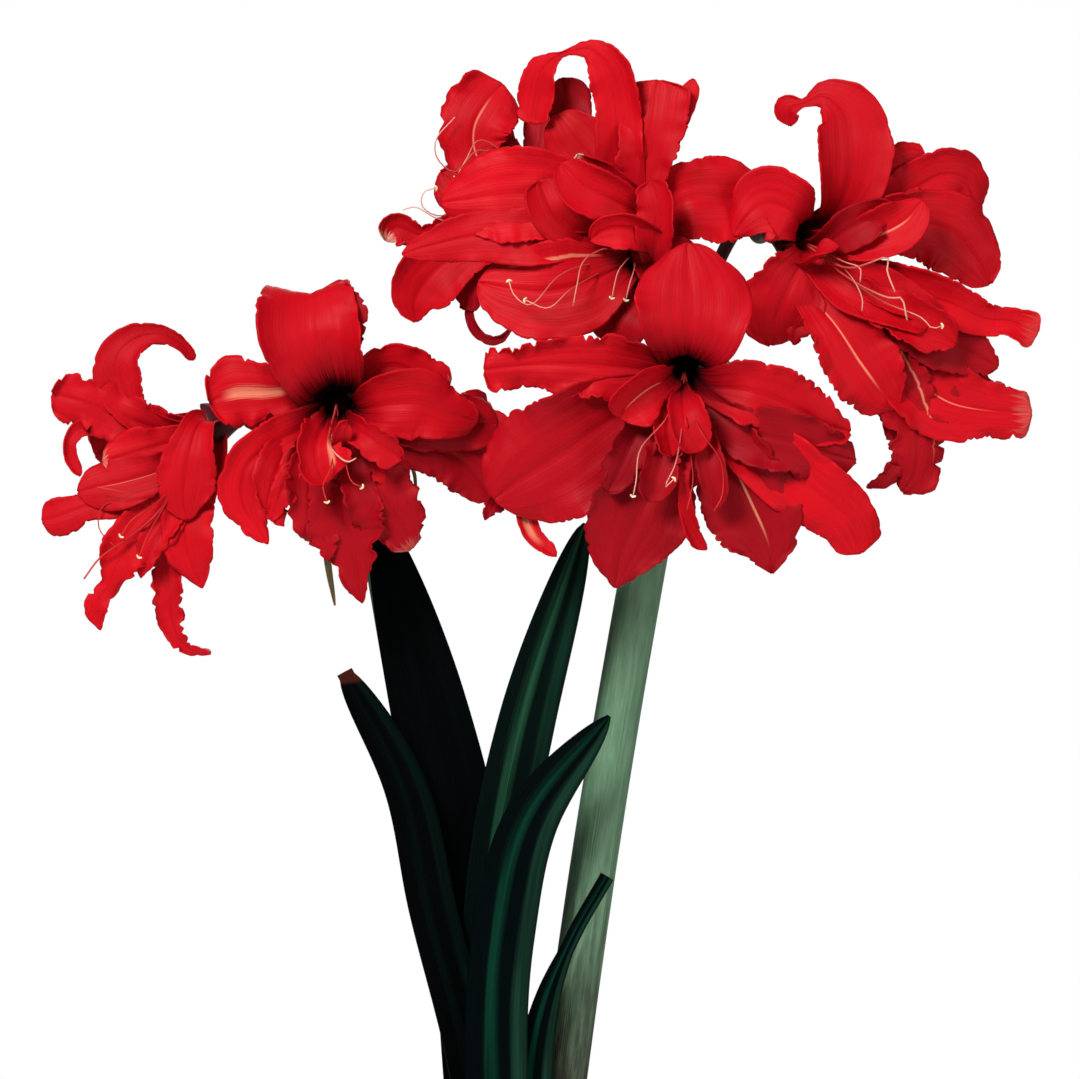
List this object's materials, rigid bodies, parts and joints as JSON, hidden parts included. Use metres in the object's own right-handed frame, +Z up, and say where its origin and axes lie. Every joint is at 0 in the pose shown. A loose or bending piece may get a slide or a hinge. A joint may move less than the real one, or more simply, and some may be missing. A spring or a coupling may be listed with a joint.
{
  "type": "potted double amaryllis",
  "caption": "Potted bulb plant with tall scapes, strap leaves and large double trumpet blooms in red, standing in a plain round clay pot.",
  "frame": {"origin": "centre of the pot's underside", "axes": "+Z up along the plant's height, -Y towards the plant's front, where the lower bloom opens"},
  "size_m": [0.5001, 0.2403, 0.763],
  "materials": {
    "pot": "matte",
    "soil": "matte",
    "bulb": "satin",
    "scape": "satin",
    "leaf": "satin",
    "petal": "satin"
  },
  "bodies": {
    "root": {"pot": "pot", "soil": "soil", "bulb": "bulb", "scape_left": "scape", "scape_right": "scape", "leaf_1": "leaf", "leaf_2": "leaf", "leaf_3": "leaf", "leaf_4": "leaf", "leaf_5": "leaf", "bloom_left": "petal", "bloom_front": "petal", "bloom_back": "petal", "bloom_top_left": "petal", "bloom_upper": "petal", "bloom_lower": "petal", "bloom_right": "petal"}
  },
  "joints": []
}
